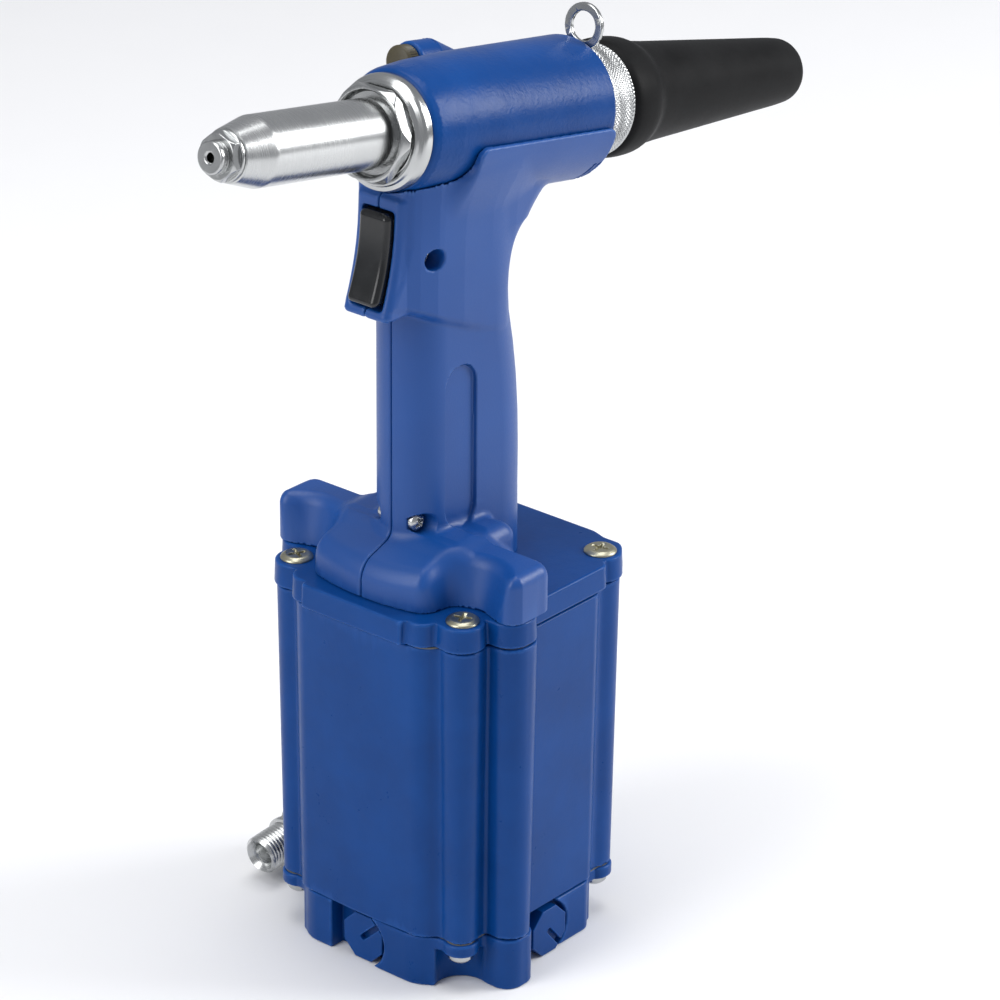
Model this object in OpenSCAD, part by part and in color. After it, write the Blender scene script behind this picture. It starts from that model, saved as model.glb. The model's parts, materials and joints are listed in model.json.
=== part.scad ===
// Air-hydraulic hand riveter, millimetres.
// +Z is up. The origin is on the underside of the base, on the axis of the air cylinder.
// The nose points to -X and the mandrel case to +X.

/* [Air cylinder] */
// Side of the square of corner screws
screw_span = 68; // [67:0.5:69]
// Height of the base cap
cap_h = 17.5; // [17:0.1:18]
// Height of the top plate's upper face above the bench
plate_top = 128.1; // [127:0.1:130]
// Thickness of the top plate
plate_t = 8; // [7:0.5:9]
// Radius of the air cylinder's bore
air_bore_r = 38; // [37:0.5:38.5]
// Thickness of the gaskets above and below the cylinder
gasket_t = 0.5; // [0.3:0.1:0.6]

/* [Ram] */
// Radius of the ram
ram_r = 6.5; // [6:0.1:6.8]
// Travel of the air piston
air_stroke = 76; // [60:1:76]

/* [Barrel] */
// Height of the barrel axis above the origin
barrel_z = 270.9; // [268:0.1:273]
// Nose-up pitch of the barrel, in degrees
pitch = 9.26; // [8:0.01:10]
// Outer radius of the head
head_r = 22; // [21.5:0.1:22.5]
// Radius of the hydraulic bore
pull_bore_r = 16; // [15.5:0.1:16.5]
// Radius of the pulling rod
rod_r = 7; // [6.8:0.1:7.2]
// Outer radius of the nose housing
nose_r = 10.6; // [10.4:0.1:11]
// Radius of the mandrel hole in the nosepiece
mandrel_r = 1.4; // [1.2:0.1:1.7]

/* [Grip] */
// Half of the grip's width
grip_w = 15.4; // [15:0.1:16]
// Front face of the grip
grip_front = -28.3; // [-28.6:0.1:-28]
// Height of the covers' skirt above the plate
skirt_h = 15; // [14:0.5:16]

/* [Inlet] */
// Radius of the hose thread (G 1/4)
inlet_r = 6.58; // [6.5:0.01:6.6]
// Height of the inlet port above the bench
inlet_z = 12.2; // [12:0.1:13]

/* [Hidden] */
$fn = 96;
fit = 0.05;
half_span = screw_span / 2;
rear_screw_x = half_span - 2.2;
corners = [for (x = [-half_span, rear_screw_x], y = [-half_span, half_span]) [x, y]];
head_bolts = [[-15, -10.5], [-15, 10.5], [13.5, -8.5], [13.5, 8.5]];

// Levels of the air cylinder
cyl_z0 = cap_h + gasket_t;
plate_z0 = plate_top - plate_t;
cyl_z1 = plate_z0 - gasket_t;
cap_floor = 6;
lug_z = cap_h - 4.2;
piston_z = 20.1;
piston_h = 12;

// Half-widths of the cylinder block: flat faces, front bulge and side ribs
side_y = 42.4;
rear_x = 40.2;
front_x = 45.2;
wall_x = 39.4;
rear_wall_x = 37.2;
rib_y = 49.6;
rib_x = -20.75;
rib_w = 15.5;
rib_round = 7;
rib_hole_y = 44.6;
boss_r = 6.3;

// Ports of the base cap: height, pocket radius, straight wall beside it, and the plugs' flats
port_z = 8.3;
port_floor = 37.5;
pocket_r = 9.6;
pocket_wall = 12.5;
plug_flat = 8.1;
port_r = 4.9;

// Positions along the barrel, from the crossing with the cylinder axis, and radii of its parts
nose_tip = -105.8;
flange_t = -98.9;
cone_t = -88.7;
nose_end_t = -39.3;
thread_r = 12.9;
head_t0 = -29.6;
wall_t0 = -12;
wall_t1 = -6;
pull_t = -2;
pull_len = 12;
head_t1 = 51.9;
hanger_t = 52.1;
hanger_len = 1.5;
ear_r = 25.53;
ear_angle = 189.24;
ear_hole_r = 4.6;
cap_t0 = 53.7;
cap_t1 = 65.8;
case_t1 = 166.5;
case_bulge_r = 18.9;

// Levels of the grip, the trigger and its valve
skirt_top = plate_top + skirt_h;
valve_z = 229;
trig_pin = [-30.5, 249];
// Cover screws: the middle entry is the distance of the head's seat from the parting plane
low_screw = [-23.6, 5.4, 149.2];
high_screw = [-23, 6.4, 236.4];
knob_pos = [-11.9, 25.2];
knob_t = 6.4;
tube_x = -15;
inlet_x = -2;
inlet_y = 58;
swivel_r = 11.4;

// ---- Shared shapes ----

// A rectangle from corner a to corner b with round corners
module round_box(a, b, r) {
    translate([a.x + r, a.y]) square([b.x - a.x - 2 * r, b.y - a.y]);
    translate([a.x, a.y + r]) square([b.x - a.x, b.y - a.y - 2 * r]);
    for (x = [a.x + r, b.x - r], y = [a.y + r, b.y - r]) translate([x, y]) circle(r);
}

// A ring or tube around Z
module tube(r_out, r_in, z0, z1) {
    translate([0, 0, z0]) difference() {
        cylinder(r = r_out, h = z1 - z0);
        translate([0, 0, -1]) cylinder(r = r_in, h = z1 - z0 + 2);
    }
}

// A solid rod around Z
module rod(r, z0, z1, r_end = undef) {
    translate([0, 0, z0]) cylinder(r1 = r, r2 = is_undef(r_end) ? r : r_end, h = z1 - z0);
}

// Barrel frame: z runs rearward along the barrel, x points down
module on_barrel() {
    translate([0, 0, barrel_z]) rotate([0, 90 + pitch, 0]) children();
}

// Plan of the cylinder block; grow moves every face outward
module block_plan(grow = 0) {
    round_box([-wall_x - grow, -wall_x - grow], [rear_wall_x + grow, wall_x + grow], 5);
    round_box([-front_x - grow, -30], [0, 30], 7);
    round_box([0, -27], [rear_x + grow, 27], 4);
    round_box([-27, -side_y - grow], [25, side_y + grow], 4);
    for (c = corners) translate(c) circle(boss_r + grow);
    round_box([rib_x - rib_w / 2 - grow, -rib_y - grow], [rib_x + rib_w / 2 + grow, rib_y + grow], rib_round + grow);
}

module screw_holes(r, h) {
    for (c = corners) translate([c.x, c.y, -1]) cylinder(r = r, h = h + 2);
}

// A round-wire coil around Z: the wire's section is cut by the plane across the axis
module coil(r, wire, pitch_z, turns) {
    span = 180 * wire / pitch_z * 0.98;
    steps = 4;
    function half(a) = sqrt(max(0, pow(wire / 2, 2) - pow(a * pitch_z / 360, 2)));
    out = [for (i = [-steps:steps]) let (a = span * i / steps) (r + half(a)) * [cos(a), sin(a)]];
    back = [for (i = [-steps:steps]) let (a = -span * i / steps) (r - half(a) - 0.02) * [cos(a), sin(a)]];
    linear_extrude(height = pitch_z * turns, twist = -360 * turns, slices = turns * 16, $fn = 8)
        polygon(concat(out, back));
}

// ---- Base ----

// The pocket of the front port and the hole behind it
module port_pocket() {
    rotate([0, -90, 0]) {
        translate([port_z, 0, port_floor]) cylinder(r = pocket_r, h = 20);
        translate([-1, 0, port_floor]) cube([cap_h + 2, pocket_wall, 20]);
        translate([port_z, 0, 20]) cylinder(r = port_r, h = 30);
    }
}

module cap_plan() {
    round_box([-front_x + 2, -30], [0, 30], 11);
    round_box([0, -26], [rear_x - 2.5, 26], 4);
    round_box([-27, -side_y + 1], [23, side_y - 1], 4);
    round_box([rib_x - rib_w / 2 + 1, -rib_y + 1], [rib_x + rib_w / 2, 0], rib_round - 1);
    round_box([-wall_x, -wall_x + 1], [rear_wall_x - 2.5, wall_x - 1], 6);
}

module base_cap() {
    color("royalblue") difference() {
        union() {
            difference() {
                linear_extrude(cap_h) cap_plan();
                for (c = corners) translate([c.x * 1.05, c.y * 1.05, -1]) cylinder(r = 8.6, h = lug_z + 1);
            }
            translate([0, 0, lug_z]) linear_extrude(cap_h - lug_z) for (c = corners) translate(c) circle(boss_r);
        }
        translate([0, 0, cap_floor]) cylinder(r = 33, h = cap_h);
        translate([0, 0, lug_z]) screw_holes(2.2, cap_h);
        port_pocket();
        rotate([0, 0, 90]) port_pocket();
        translate([inlet_x, 20, inlet_z]) rotate([-90, 0, 0]) cylinder(r = port_r, h = 30);
    }
}

module base_gasket() {
    color("dimgray") translate([0, 0, cap_h]) linear_extrude(gasket_t) difference() {
        union() {
            round_box([-wall_x + 1.4, -wall_x + 1.4], [rear_wall_x - 1.4, wall_x - 1.4], 6);
            for (c = corners) translate(c) circle(boss_r - 1.6);
        }
        circle(34);
        for (c = corners) translate(c) circle(2.3);
    }
}

module base_screws() {
    color("silver") for (c = corners) translate([c.x, c.y, lug_z]) {
        rod(2.1, 0, 18);
        intersection() {
            translate([0, 0, 1.4]) sphere(r = 5.2);
            rod(4.3, -4, 0);
        }
    }
}

// An octagonal plug with its slot turned by the angle slot
module port_plug(slot) {
    rotate([0, -90, 0]) difference() {
        union() {
            translate([0, 0, port_floor + 0.1]) rotate(22.5) cylinder(r = plug_flat / cos(22.5), h = 4.4, $fn = 8);
            rod(port_r - fit, 28, port_floor + 0.1);
        }
        rotate(slot) translate([0, -0.9, port_floor + 2.5]) cube([9, 1.8, 3]);
    }
}

module front_port_plug() {
    color("royalblue") translate([0, 0, port_z]) port_plug(-47);
}

module side_port_plug() {
    color("royalblue") translate([0, 0, port_z]) rotate([0, 0, 90]) port_plug(220);
}

module bumper() {
    color("darkslategray") tube(22, 13, cap_floor, piston_z - 0.1);
}

// ---- Air cylinder and piston ----

module air_cylinder() {
    color("royalblue") translate([0, 0, cyl_z0]) difference() {
        linear_extrude(cyl_z1 - cyl_z0) block_plan();
        translate([0, 0, -1]) cylinder(r = air_bore_r, h = cyl_z1);
        screw_holes(2.15, cyl_z1);
        for (y = [-rib_hole_y, rib_hole_y]) translate([rib_x, y, 4]) cylinder(r = 2.5, h = cyl_z1);
    }
}

module plate_gasket() {
    color("dimgray") translate([0, 0, cyl_z1]) linear_extrude(gasket_t) difference() {
        block_plan(-1.2);
        circle(air_bore_r);
        for (c = corners) translate(c) circle(2.3);
    }
}

module top_plate() {
    color("mediumblue") translate([0, 0, plate_z0]) difference() {
        linear_extrude(plate_t) {
            round_box([-front_x - 2, -20.4], [0, 20.4], 0.8);
            round_box([-wall_x - 1.2, -wall_x + 2], [rear_x + 0.6, wall_x - 2], 3);
            round_box([0, -27], [rear_x + 2, 27], 4);
            round_box([-wall_x + 2, -side_y], [rear_wall_x - 2, side_y], 3);
            round_box([rib_x - rib_w / 2, -rib_y], [rib_x + rib_w / 2, rib_y], rib_round);
            for (c = corners) translate(c) circle(boss_r + 0.5);
        }
        screw_holes(2.3, plate_t);
        translate([0, 0, -1]) cylinder(r = 11, h = plate_t + 2);
        for (p = head_bolts) translate([p.x, p.y, 2]) cylinder(r = 1.6, h = plate_t);
        translate([tube_x, 0, 2]) cylinder(r = 2.5, h = plate_t);
    }
}

module plate_screws() {
    color("darkkhaki") for (c = corners) translate([c.x, c.y, plate_top]) difference() {
        union() {
            rod(5.3, 0, 0.6);
            translate([0, 0, 0.6]) cylinder(r1 = 5.3, r2 = 4.2, h = 0.7);
            rod(2.1, -20, 0);
        }
        for (a = [20, 110]) rotate(a) translate([-2.9, -0.55, -0.4]) cube([5.8, 1.1, 3]);
    }
}

module ram_gland() {
    color("goldenrod") difference() {
        union() {
            rod(14, plate_z0 - 5, plate_z0);
            rod(11 - fit, plate_z0 - 1, plate_top);
        }
        rod(ram_r + fit, 0, plate_top + 1);
        rod(9, plate_top - 4, plate_top + 1);
    }
}

module ram_seal() {
    color("dimgray") tube(9 - 0.02, ram_r + 0.02, plate_top - 4, plate_top - 0.1);
}

module air_piston() {
    color("gainsboro") translate([0, 0, piston_z]) difference() {
        rod(air_bore_r - fit, 0, piston_h);
        difference() {
            rod(air_bore_r + 1, 4, 8);
            rod(air_bore_r - 3, 3, 9);
        }
        difference() {
            rod(air_bore_r - 6, piston_h - 4, piston_h + 1);
            rod(14, piston_h - 5, piston_h + 2);
        }
        rod(5, -1, piston_h + 1);
    }
}

module air_piston_seal() {
    color("black") translate([0, 0, piston_z]) tube(air_bore_r - 0.03, air_bore_r - 3, 4, 8);
}

module ram() {
    color("silver") {
        rod(ram_r, piston_z + piston_h, plate_top - 7);
        rod(5, piston_z - 9, piston_z + piston_h);
    }
}

module ram_nut() {
    color("silver") difference() {
        translate([0, 0, piston_z - 8]) cylinder(r = 9.2, h = 8, $fn = 6);
        rod(5, 0, piston_z + 1);
    }
}

// ---- Head ----

// Foot of the oil column, inside the grip; grow moves every face outward
module flange_plan(grow = 0) {
    round_box([-19.5 - grow, -14.5 - grow], [2 + grow, 14.5 + grow], 4);
    translate([-2, -12.8 - grow]) square([10, 25.6 + 2 * grow]);
    translate([8, 0]) circle(12.8 + grow);
}

module head_casting() {
    color("royalblue") difference() {
        union() {
            on_barrel() {
                rod(head_r - 3.2, head_t0, head_t0 + 2.1, head_r - 1.8);
                rod(head_r - 1.8, head_t0 + 2.1, 0, head_r - 0.8);
                rod(head_r - 0.8, 0, head_t1 - 1.2, head_r - 0.2);
                rod(head_r - 0.2, head_t1 - 1.2, head_t1, head_r - 1.2);
                translate([knob_pos.x, knob_pos.y, 0]) {
                    rod(6.6, knob_t, knob_t + 10);
                    rod(6.6, knob_t + 10, knob_t + 24, 2);
                }
                rotate(atan2(knob_pos.y, knob_pos.x)) translate([0, -5, knob_t + 1]) cube([25, 10, 14]);
            }
            rod(10.5, plate_top, barrel_z - 18.5);
            translate([0, 0, plate_top]) linear_extrude(5) flange_plan();
        }
        on_barrel() {
            rod(pull_bore_r, wall_t1, head_t1 + 1);
            rod(rod_r + fit, head_t0 - 1, head_t1);
            rod(thread_r + fit, head_t0 - 1, wall_t0);
            translate([knob_pos.x, knob_pos.y, 0]) rod(3, knob_t - 1, knob_t + 11);
        }
        rod(ram_r + 0.6, plate_top - 1, plate_top + air_stroke - 3);
        translate([-6.6, 0, plate_top + air_stroke - 10]) cylinder(r = 2.2, h = 62);
        for (p = head_bolts) translate([p.x, p.y, plate_top - 1]) cylinder(r = 1.8, h = 9);
        translate([tube_x, 0, plate_top - 1]) cylinder(r = 2.6, h = 9);
    }
}

module head_screws() {
    color("silver") for (p = head_bolts) translate([p.x, p.y, plate_top]) {
        rod(1.55, -5.5, 5);
        difference() {
            rod(2.6, 5, 8);
            translate([0, 0, 6.4]) cylinder(r = 1.4, h = 2, $fn = 6);
        }
    }
}

module front_flange() {
    color("silver") on_barrel() difference() {
        union() {
            rod(15.6, head_t0 - 5.4, head_t0 - 3.6, 17.2);
            rod(18, head_t0 - 3.6, head_t0);
        }
        rod(thread_r + fit, head_t0 - 7, head_t0 + 1);
        rod(14.2, head_t0 - 6, head_t0 - 4);
    }
}

module lock_nut() {
    color("silver") on_barrel() difference() {
        intersection() {
            translate([0, 0, head_t0 - 10.2]) rotate(30) cylinder(r = 16, h = 4.8, $fn = 6);
            rod(13.4, head_t0 - 10.2, head_t0 - 5.4, 18);
        }
        rod(thread_r + fit, head_t0 - 12, head_t0);
    }
}

module nose_housing() {
    shank_t = nose_end_t + 2.2;
    color("silver") on_barrel() rotate_extrude() polygon([
        [5, flange_t], [8, flange_t], [nose_r, cone_t], [nose_r, nose_end_t], [9.7, nose_end_t],
        [9.7, shank_t], [thread_r, shank_t], [thread_r, wall_t0 - 0.5], [8.6, wall_t0 - 0.5],
        [8.6, cone_t + 3.2], [5, cone_t + 3.2]]);
}

module nosepiece() {
    color("silver") on_barrel() difference() {
        union() {
            rod(4.3, nose_tip, nose_tip + 0.6, 5);
            rod(5, nose_tip + 0.6, nose_tip + 2);
            intersection() {
                translate([0, 0, nose_tip + 2]) cylinder(r = 7.2, h = 3.7, $fn = 6);
                rod(5.2, nose_tip + 2, nose_tip + 5.7, 8);
            }
            rod(7.6, nose_tip + 5.7, flange_t);
            rod(4.95, flange_t, cone_t + 3);
        }
        rod(mandrel_r, nose_tip - 1, cone_t + 4);
    }
}

// ---- Jaws and pulling gear ----

jaw_t0 = cone_t + 4.2;
jaw_len = 12;
jaw_slope = 12;
jaw_r0 = 3.6;

module jaw_case() {
    color("dimgray") on_barrel() difference() {
        rod(8.4, jaw_t0 - 0.8, -44);
        rod(jaw_r0, jaw_t0 - 1, jaw_t0 + jaw_len, jaw_r0 + tan(jaw_slope) * (jaw_len + 1));
        rod(jaw_r0 + tan(jaw_slope) * (jaw_len + 1), jaw_t0 + jaw_len, -54);
        rod(6.1, -55, -43);
    }
}

module jaw(turn) {
    color("gray") on_barrel() rotate(turn) intersection() {
        difference() {
            rod(jaw_r0 - 0.3, jaw_t0 - 0.4, jaw_t0 + jaw_len, jaw_r0 - 0.3 + tan(jaw_slope) * (jaw_len + 0.4));
            rod(mandrel_r + 0.35, jaw_t0 - 1, jaw_t0 + jaw_len + 1);
        }
        translate([0, 0, jaw_t0 - 2]) linear_extrude(jaw_len + 4)
            polygon([[0.6, 0], [20, 33.6], [40, 0], [20, -33.6]]);
    }
}

module jaw_1() { jaw(0); }
module jaw_2() { jaw(120); }
module jaw_3() { jaw(240); }

module jaw_pusher() {
    color("silver") on_barrel() difference() {
        union() {
            rod(4, jaw_t0 + jaw_len + 0.1, jaw_t0 + jaw_len + 1, 5.8);
            rod(5.8, jaw_t0 + jaw_len + 1, jaw_t0 + jaw_len + 4);
            rod(3.9, jaw_t0 + jaw_len + 4, -62);
        }
        rod(3.2, -100, -50);
    }
}

module jaw_spring() {
    color("silver") on_barrel() translate([0, 0, jaw_t0 + jaw_len + 4.1]) coil(5, 0.9, 2.25, 6);
}

module pull_piston() {
    color("silver") on_barrel() difference() {
        union() {
            rod(6.05, -54, -44);
            rod(rod_r, -44, pull_t);
            rod(pull_bore_r - fit, pull_t, pull_t + pull_len);
        }
        rod(2.7, -60, 20);
        difference() {
            rod(pull_bore_r + 1, pull_t + 4, pull_t + 8);
            rod(pull_bore_r - 2.5, pull_t + 3, pull_t + 9);
        }
    }
}

module pull_piston_seal() {
    color("black") on_barrel() tube(pull_bore_r - fit, pull_bore_r - 2.5, pull_t + 4, pull_t + 8);
}

module return_spring() {
    color("silver") on_barrel() translate([0, 0, pull_t + pull_len + 0.1]) coil(11.5, 2, 6.56, 5);
}

module mandrel_tube() {
    color("silver") on_barrel() tube(2.65, 2, -66, 62);
}

// ---- Rear end ----

module rear_cap() {
    color("silver") on_barrel() difference() {
        union() {
            rod(pull_bore_r - 0.1, 43, cap_t0);
            rod(17.9, cap_t0, cap_t1);
            rod(15.2, cap_t1, cap_t1 + 5);
        }
        rod(2.75, 40, 90);
        rod(12.5, cap_t1 - 4, 90);
        rod(8.5, 42, 46);
    }
}

module hanger() {
    color("silver") on_barrel() translate([0, 0, hanger_t]) difference() {
        union() {
            rod(18.6, 0, hanger_len);
            rotate(ear_angle) {
                translate([ear_r, 0, 0]) rod(7.3, 0, hanger_len);
                translate([16.5, -4, 0]) cube([4, 8, hanger_len]);
            }
        }
        rod(16.05, -1, 3);
        rotate(ear_angle) translate([ear_r, 0, -1]) cylinder(r = ear_hole_r, h = 4);
    }
}

module mandrel_case() {
    color("black") on_barrel() difference() {
        union() {
            rod(17.4, cap_t1 + 0.2, 69, case_bulge_r);
            rod(case_bulge_r, 69, 77);
            rod(case_bulge_r, 77, 92, 15.5);
            rod(15.5, 92, case_t1 - 2, 10.4);
            rod(10.4, case_t1 - 2, case_t1, 8);
        }
        rod(15.3, cap_t1, 72);
        rod(15.3, 72, 92, 13);
        rod(13, 92, case_t1 - 4, 7.8);
    }
}

module vacuum_knob() {
    color("darkolivegreen") on_barrel() translate([knob_pos.x, knob_pos.y, 0]) {
        rod(4.6, knob_t - 5, knob_t - 4.2, 5.2);
        rod(5.2, knob_t - 4.2, knob_t - 0.3);
        rod(2.95, knob_t - 0.3, knob_t + 10);
    }
}

// ---- Covers, trigger and valve ----

module grip_slice(z, rear, w) {
    translate([0, 0, z]) linear_extrude(0.1) {
        translate([grip_front + w, 0]) circle(w, $fn = 32);
        translate([rear - w, 0]) circle(w, $fn = 32);
    }
}

module grip_part(z0, rear0, w0, z1, rear1, w1) {
    hull() {
        grip_slice(z0, rear0, w0);
        grip_slice(z1, rear1, w1);
    }
}

// Block of the skirt with a narrower top
module lobe(a, b, r, inset) {
    hull() {
        translate([0, 0, plate_top]) linear_extrude(skirt_h - 6) round_box(a, b, r, $fn = 32);
        translate([0, 0, plate_top]) linear_extrude(skirt_h)
            round_box(a + [inset, inset], b - [inset, inset], r, $fn = 32);
    }
}

module rear_web() {
    arc_r = 34;
    translate([0, 11, 0]) rotate([90, 0, 0]) linear_extrude(22) difference() {
        polygon([[0, 212], [0, 262], [50, 255], [52, 236], [30, 224], [17, 212]]);
        translate([17.6 + arc_r, 207]) circle(arc_r);
    }
}

module cover_shape() {
    grip_part(plate_top, 23.4, grip_w, 165, 22.8, grip_w);
    grip_part(165, 22.8, grip_w, 209, 17.4, 15);
    grip_part(209, 17.4, 15, 250, 21, 14);
    hull() {
        translate([-40, -9, 219.5]) cube([15, 18, 4]);
        translate([-34, -9, 250]) cube([9, 18, 6.6]);
        translate([-18, -13.5, 214]) cube([8, 27, 42]);
    }
    lobe([-42.5, -25.5], [0, 25.5], 6, 2.5);
    lobe([-28.2, -49.3], [-9.5, 49.3], 5, 1.5);
    translate([0, 0, plate_top]) linear_extrude(8) polygon([[-10, 33], [-10, -33], [12, -15], [12, 15]]);
    rear_web();
    on_barrel() intersection() {
        rod(head_r + 2.2, -9, head_t1);
        translate([2.4, -30, -20]) cube([30, 60, 90]);
    }
}

module cover_hollow() {
    rod(10.7, plate_top - 1, barrel_z);
    translate([0, 0, plate_top - 1]) linear_extrude(7.2) flange_plan(0.6);
    for (p = head_bolts) translate([p.x, p.y, plate_top]) cylinder(r = 3, h = 8.4);
    translate([-17.9, -5.2, plate_top]) cube([12, 10.4, 96]);
    translate([-32.2, -5.4, 223.4]) cube([26, 10.8, 11.2]);
    translate([-46, -6.3, 222.6]) cube([19.8, 12.6, 30]);
    on_barrel() rod(head_r + fit, -60, 80);
    on_barrel() rod(18.2, -45, -20);
    on_barrel() translate([-30, -30, head_t1]) cube([90, 60, 30]);
    translate([trig_pin.x, 0, trig_pin.y]) rotate([90, 0, 0]) rod(1.55, -8.6, 8.6);
}

module cover_half(side) {
    difference() {
        intersection() {
            cover_shape();
            translate([-60, side > 0 ? 0.1 : -60.1, 100]) cube([130, 60, 200]);
        }
        cover_hollow();
        for (p = [low_screw, high_screw]) translate([p.x, 0, p.z]) rotate([90, 0, 0]) {
            rod(1.6, -30, 30);
            rod(3.4, p.y, 30);
            rod(3.4, -30, -p.y);
        }
        if (side < 0) {
            translate([-11, -grip_w - 1, 0]) rotate([-90, 0, 0]) linear_extrude(1.9)
                for (z = [-193.5, -152]) translate([0, z]) circle(6);
            translate([-17, -grip_w - 1, 152]) cube([12, 1.9, 41.5]);
        }
    }
}

module left_cover() { color("royalblue") cover_half(1); }
module right_cover() { color("royalblue") cover_half(-1); }

module cover_screws() {
    color("silver") for (p = [low_screw, high_screw]) translate([p.x, 0, p.z]) rotate([90, 0, 0]) {
        rod(1.5, -p.y, p.y);
        rod(3, p.y, p.y + 1.6);
        rod(3, -p.y - 1.6, -p.y);
    }
}

module trigger() {
    color("black") difference() {
        union() {
            translate([0, 6, 0]) rotate([90, 0, 0]) linear_extrude(12)
                polygon([[-37.4, 250.6], [-36, 252], [-32.5, 251.4], [-32.5, 224.6], [-40.6, 224.4], [-42.2, 226.2]]);
            translate([trig_pin.x, 3.5, trig_pin.y]) rotate([90, 0, 0]) cylinder(r = 3, h = 7);
            translate([-35, -3.5, trig_pin.y - 3]) cube([4, 7, 6]);
        }
        translate([trig_pin.x, 0, trig_pin.y]) rotate([90, 0, 0]) rod(1.55, -10, 10);
    }
}

module trigger_pin() {
    color("silver") translate([trig_pin.x, 0, trig_pin.y]) rotate([90, 0, 0]) rod(1.5, -8.4, 8.4);
}

module on_valve() {
    translate([0, 0, valve_z]) rotate([0, 90, 0]) children();
}

module valve_body() {
    color("goldenrod") on_valve() difference() {
        rod(5, -27, -11);
        rod(1.6, -28, -20);
        rod(3.4, -22, -13);
        translate([2, 0, tube_x]) rotate([0, 90, 0]) cylinder(r = 1.5, h = 6);
    }
}

module valve_rod() {
    color("silver") on_valve() {
        rod(1.55, -32.1, -21.9);
        rod(3.35, -21.9, -19.9);
    }
}

module valve_spring() {
    color("silver") on_valve() translate([0, 0, -19.8]) coil(2.6, 0.6, 1.6, 4);
}

module air_tube() {
    color("silver") translate([tube_x, 0, 0]) tube(2.4, 1.6, plate_top - 4, valve_z - 5.1);
}

// ---- Air inlet ----

module on_inlet() {
    translate([inlet_x, 0, inlet_z]) rotate([-90, 0, 0]) children();
}

module inlet_bush() {
    color("silver") on_inlet() difference() {
        union() {
            rod(4.85, 34, side_y);
            rod(5.6, side_y - 1, side_y + 0.2);
            translate([0, 0, side_y + 0.1]) cylinder(r = 9.2, h = 4.2, $fn = 6);
            rod(5.5, side_y + 4.2, inlet_y + 5.6);
            rod(7.2, inlet_y + 5.6, inlet_y + 7.4);
        }
        rod(2.5, 30, inlet_y + 4);
        translate([0, 0, inlet_y]) rotate([90, 0, 0]) rod(1.8, -8, 8);
    }
}

module inlet_swivel() {
    color("silver") on_inlet() difference() {
        union() {
            rod(swivel_r - 1.2, inlet_y - 7, inlet_y - 5.6, swivel_r);
            rod(swivel_r, inlet_y - 5.6, inlet_y + 4.2);
            rod(swivel_r, inlet_y + 4.2, inlet_y + 5.4, swivel_r - 1.2);
        }
        rod(5.5 + fit, inlet_y - 8, inlet_y + 8);
        nipple_axis() rod(4.5, 6, 20);
    }
}

// Along the hose thread, which points forward and slightly down
module nipple_axis() {
    translate([0, 0, inlet_y]) rotate([0, -90, -5]) children();
}

module inlet_nipple() {
    color("silver") on_inlet() nipple_axis() difference() {
        union() {
            rod(4.45, 7.2, 12);
            rod(8, 11.5, 13.6);
            rod(inlet_r, 13.6, 26);
        }
        rod(3.2, 5, 24);
        rod(3.2, 23, 27, 5.4);
    }
}

base_cap();
base_gasket();
base_screws();
front_port_plug();
side_port_plug();
bumper();
air_cylinder();
plate_gasket();
top_plate();
plate_screws();
ram_gland();
ram_seal();
air_piston();
air_piston_seal();
ram();
ram_nut();
head_casting();
head_screws();
left_cover();
right_cover();
cover_screws();
trigger();
trigger_pin();
valve_body();
valve_rod();
valve_spring();
air_tube();
front_flange();
lock_nut();
nose_housing();
nosepiece();
jaw_case();
jaw_1();
jaw_2();
jaw_3();
jaw_pusher();
jaw_spring();
pull_piston();
pull_piston_seal();
return_spring();
mandrel_tube();
rear_cap();
hanger();
mandrel_case();
vacuum_knob();
inlet_bush();
inlet_swivel();
inlet_nipple();
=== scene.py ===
"""Looks of the hand riveter. Lengths inside the shape functions are millimetres in the CAD frame."""
import json
import math
import bmesh
import bpy
import numpy as np
from mathutils import Matrix, Vector


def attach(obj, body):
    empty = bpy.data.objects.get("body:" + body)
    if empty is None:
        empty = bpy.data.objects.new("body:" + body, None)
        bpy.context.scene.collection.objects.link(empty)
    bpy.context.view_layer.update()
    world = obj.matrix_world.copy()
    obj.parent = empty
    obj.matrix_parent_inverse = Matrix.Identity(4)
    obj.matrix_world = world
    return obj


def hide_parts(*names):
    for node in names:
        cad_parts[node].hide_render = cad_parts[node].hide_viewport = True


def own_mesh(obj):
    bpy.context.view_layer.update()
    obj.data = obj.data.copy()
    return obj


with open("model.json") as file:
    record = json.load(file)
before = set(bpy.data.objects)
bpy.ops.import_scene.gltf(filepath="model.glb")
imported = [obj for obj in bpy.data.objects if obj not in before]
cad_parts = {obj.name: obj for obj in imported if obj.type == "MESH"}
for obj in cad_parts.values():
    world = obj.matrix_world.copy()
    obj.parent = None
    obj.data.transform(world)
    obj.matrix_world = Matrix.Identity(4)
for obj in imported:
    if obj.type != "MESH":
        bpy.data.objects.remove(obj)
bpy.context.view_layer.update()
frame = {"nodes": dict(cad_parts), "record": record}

MM = 0.001
TILT = math.radians(9.26)
CT, ST = math.cos(TILT), math.sin(TILT)
AXIS_Z = 270.9
# Places of the corner screws: half-span, and the rear pair's x
HALF = 34.0
REAR = 31.8
# Levels: top of the plate, axis of the ports, axis of the valve
PLATE_TOP = 128.1
PORT_Z = 8.3
VALVE_Z = 229
# Axis of the vacuum knob: upward and to +Y from the barrel's axis
KNOB_UP, KNOB_SIDE = 11.9, 25.2

# ---------------------------------------------------------------- distance fields


def join(a, b, r):
    """Union with a round fillet of radius r."""
    return np.maximum(r, np.minimum(a, b)) - np.hypot(np.maximum(r - a, 0), np.maximum(r - b, 0))


def meet(a, b, r):
    """Intersection with its edge rounded to radius r."""
    return np.minimum(-r, np.maximum(a, b)) + np.hypot(np.maximum(r + a, 0), np.maximum(r + b, 0))


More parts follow.
